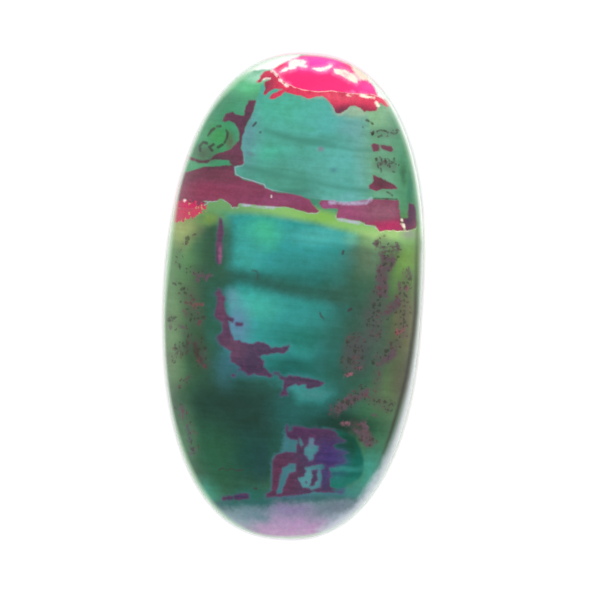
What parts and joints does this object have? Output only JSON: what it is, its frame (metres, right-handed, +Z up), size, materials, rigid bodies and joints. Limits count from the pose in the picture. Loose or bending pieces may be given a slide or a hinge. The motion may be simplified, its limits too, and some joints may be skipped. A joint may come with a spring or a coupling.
{
  "type": "agate cabochon",
  "caption": "Large oval cabochon of dyed banded agate: a low polished dome over a thin girdle, with a bevelled flat back.",
  "frame": {"origin": "middle of the stone's length and width, on its flat back", "axes": "+Z up out of the dome, +Y along the stone towards its pink tip, +X across it"},
  "size_m": [0.0256, 0.0486, 0.007],
  "materials": {
    "agate": "high polish, translucent, dyed teal and green with maroon and pink veins"
  },
  "bodies": {
    "root": {"cabochon": "agate"}
  },
  "joints": []
}
